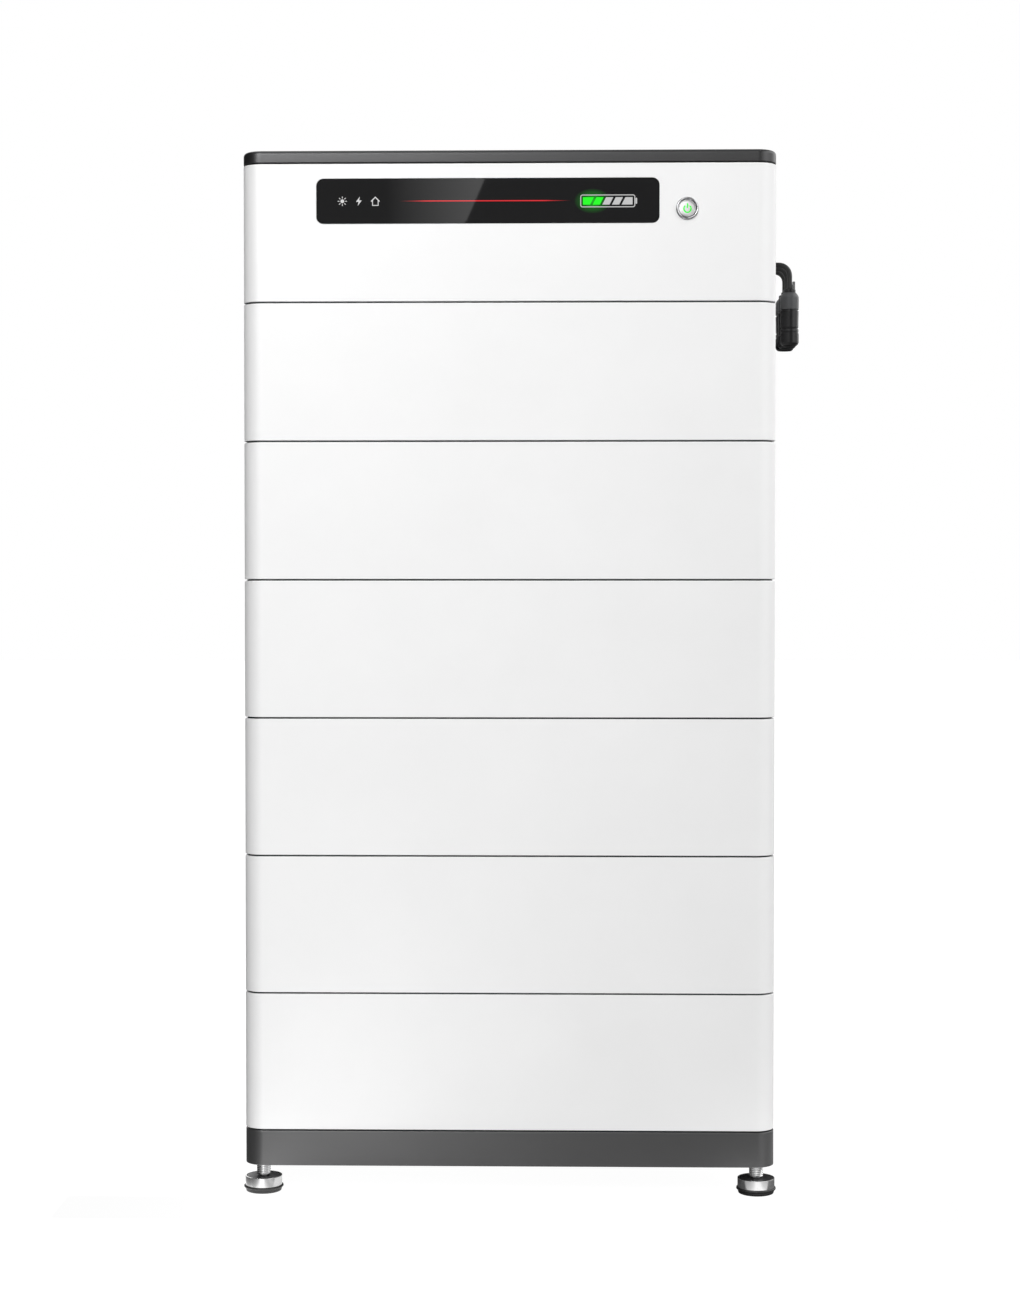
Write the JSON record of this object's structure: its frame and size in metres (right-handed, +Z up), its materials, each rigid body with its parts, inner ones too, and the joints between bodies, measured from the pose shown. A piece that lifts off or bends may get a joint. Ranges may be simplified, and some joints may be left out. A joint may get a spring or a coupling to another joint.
{
  "type": "stacked wall battery",
  "caption": "Tall stack of white battery cases under a dark lid, with a display panel, a round button, levelling feet and short connector leads.",
  "frame": {"origin": "middle of the footprint between the button ring's face and the wall, on the floor under the feet", "axes": "+Z up, +X to the right seen from the front, -Y out of the front panel"},
  "size_m": [0.6362, 0.38, 1.1787],
  "materials": {
    "white_coat": "fine textured powder coat",
    "dark_coat": "fine textured powder coat",
    "zinc": "zinc plated",
    "stainless": "polished stainless steel",
    "aluminium": "mill finish",
    "copper": "bare copper",
    "cell_film": "blue film on an aluminium can",
    "circuit_board": "solder mask",
    "black_rubber": "matt",
    "black_plastic": "satin",
    "orange_plastic": "satin",
    "light_plastic": "satin",
    "connector_body": "satin",
    "grey_foam": "matt",
    "ceramic": "glazed",
    "black_glass": "glossy black cover glass",
    "smoke_flap": "clear smoked polycarbonate",
    "chrome_ring": "polished",
    "button_face": "satin"
  },
  "bodies": {
    "root": {"base_skirt": "dark_coat", "base_deck": "dark_coat", "base_rails": "zinc", "foot_nuts": "zinc", "module_1_case": "white_coat", "module_2_case": "white_coat", "module_3_case": "white_coat", "module_4_case": "white_coat", "module_5_case": "white_coat", "module_6_case": "white_coat", "module_1_cells": "cell_film", "module_2_cells": "cell_film", "module_3_cells": "cell_film", "module_4_cells": "cell_film", "module_5_cells": "cell_film", "module_6_cells": "cell_film", "module_covers": "zinc", "stack_gaskets": "black_rubber", "locating_pins": "zinc", "power_plugs": "black_plastic", "power_sockets": "orange_plastic", "cell_mats": "grey_foam", "end_plates": "aluminium", "busbars": "copper", "module_boards": "circuit_board", "board_trays": "zinc", "lock_plates": "zinc", "case_screws": "zinc", "control_case": "white_coat", "control_floor": "zinc", "top_lid": "dark_coat", "display_glass": "black_glass", "display_carrier": "black_plastic", "indicator_board": "circuit_board", "button_bezel": "chrome_ring", "button_switch": "black_plastic", "breaker_tray": "black_plastic", "breaker_body": "light_plastic", "control_board": "circuit_board", "contactors": "black_plastic", "main_fuse": "ceramic", "wall_brackets": "zinc", "cable_glands": "black_plastic", "pigtail_1": "black_rubber", "pigtail_2": "black_rubber", "pigtail_3": "black_rubber", "pigtail_plugs": "connector_body"},
    "button": {"button_cap": "button_face"},
    "lever": {"breaker_lever": "black_plastic"},
    "flap": {"breaker_flap": "smoke_flap"},
    "foot_1": {"foot_1_cup": "stainless"},
    "stud_1": {"foot_1_stud": "stainless"},
    "foot_2": {"foot_2_cup": "stainless"},
    "stud_2": {"foot_2_stud": "stainless"},
    "foot_3": {"foot_3_cup": "stainless"},
    "stud_3": {"foot_3_stud": "stainless"},
    "foot_4": {"foot_4_cup": "stainless"},
    "stud_4": {"foot_4_stud": "stainless"}
  },
  "joints": [
    {"name": "button_press", "type": "slide", "parent": "root", "child": "button", "axis": [0, 1, 0], "range_m": [0, 0.002], "stiffness_N_per_m": 800, "springref_m": -0.002},
    {"name": "lever_toggle", "type": "hinge", "parent": "root", "child": "lever", "pos_m": [0.266, 0.075, 1.08995], "axis": [0, 1, 0], "range_deg": [0, 80]},
    {"name": "flap_swing", "type": "hinge", "parent": "root", "child": "flap", "pos_m": [0.3009, 0.075, 1.13425], "axis": [0, -1, 0], "range_deg": [0, 110]},
    {"name": "foot_1_raise", "type": "slide", "parent": "root", "child": "foot_1", "axis": [0, 0, -1], "range_m": [-0.01, 0.01]},
    {"name": "foot_1_turn", "type": "hinge", "parent": "foot_1", "child": "stud_1", "pos_m": [-0.281, -0.1595, 0.02], "axis": [0, 0, -1], "range_deg": [-1800, 1800]},
    {"name": "foot_2_raise", "type": "slide", "parent": "root", "child": "foot_2", "axis": [0, 0, -1], "range_m": [-0.01, 0.01]},
    {"name": "foot_2_turn", "type": "hinge", "parent": "foot_2", "child": "stud_2", "pos_m": [0.281, -0.1595, 0.02], "axis": [0, 0, -1], "range_deg": [-1800, 1800]},
    {"name": "foot_3_raise", "type": "slide", "parent": "root", "child": "foot_3", "axis": [0, 0, -1], "range_m": [-0.01, 0.01]},
    {"name": "foot_3_turn", "type": "hinge", "parent": "foot_3", "child": "stud_3", "pos_m": [-0.281, 0.1465, 0.02], "axis": [0, 0, -1], "range_deg": [-1800, 1800]},
    {"name": "foot_4_raise", "type": "slide", "parent": "root", "child": "foot_4", "axis": [0, 0, -1], "range_m": [-0.01, 0.01]},
    {"name": "foot_4_turn", "type": "hinge", "parent": "foot_4", "child": "stud_4", "pos_m": [0.281, 0.1465, 0.02], "axis": [0, 0, -1], "range_deg": [-1800, 1800]}
  ],
  "couplings": [
    {"joint": "foot_1_turn", "follows": "foot_1_raise", "rad_per_m": 3141.6},
    {"joint": "foot_2_turn", "follows": "foot_2_raise", "rad_per_m": 3141.6},
    {"joint": "foot_3_turn", "follows": "foot_3_raise", "rad_per_m": 3141.6},
    {"joint": "foot_4_turn", "follows": "foot_4_raise", "rad_per_m": 3141.6}
  ]
}
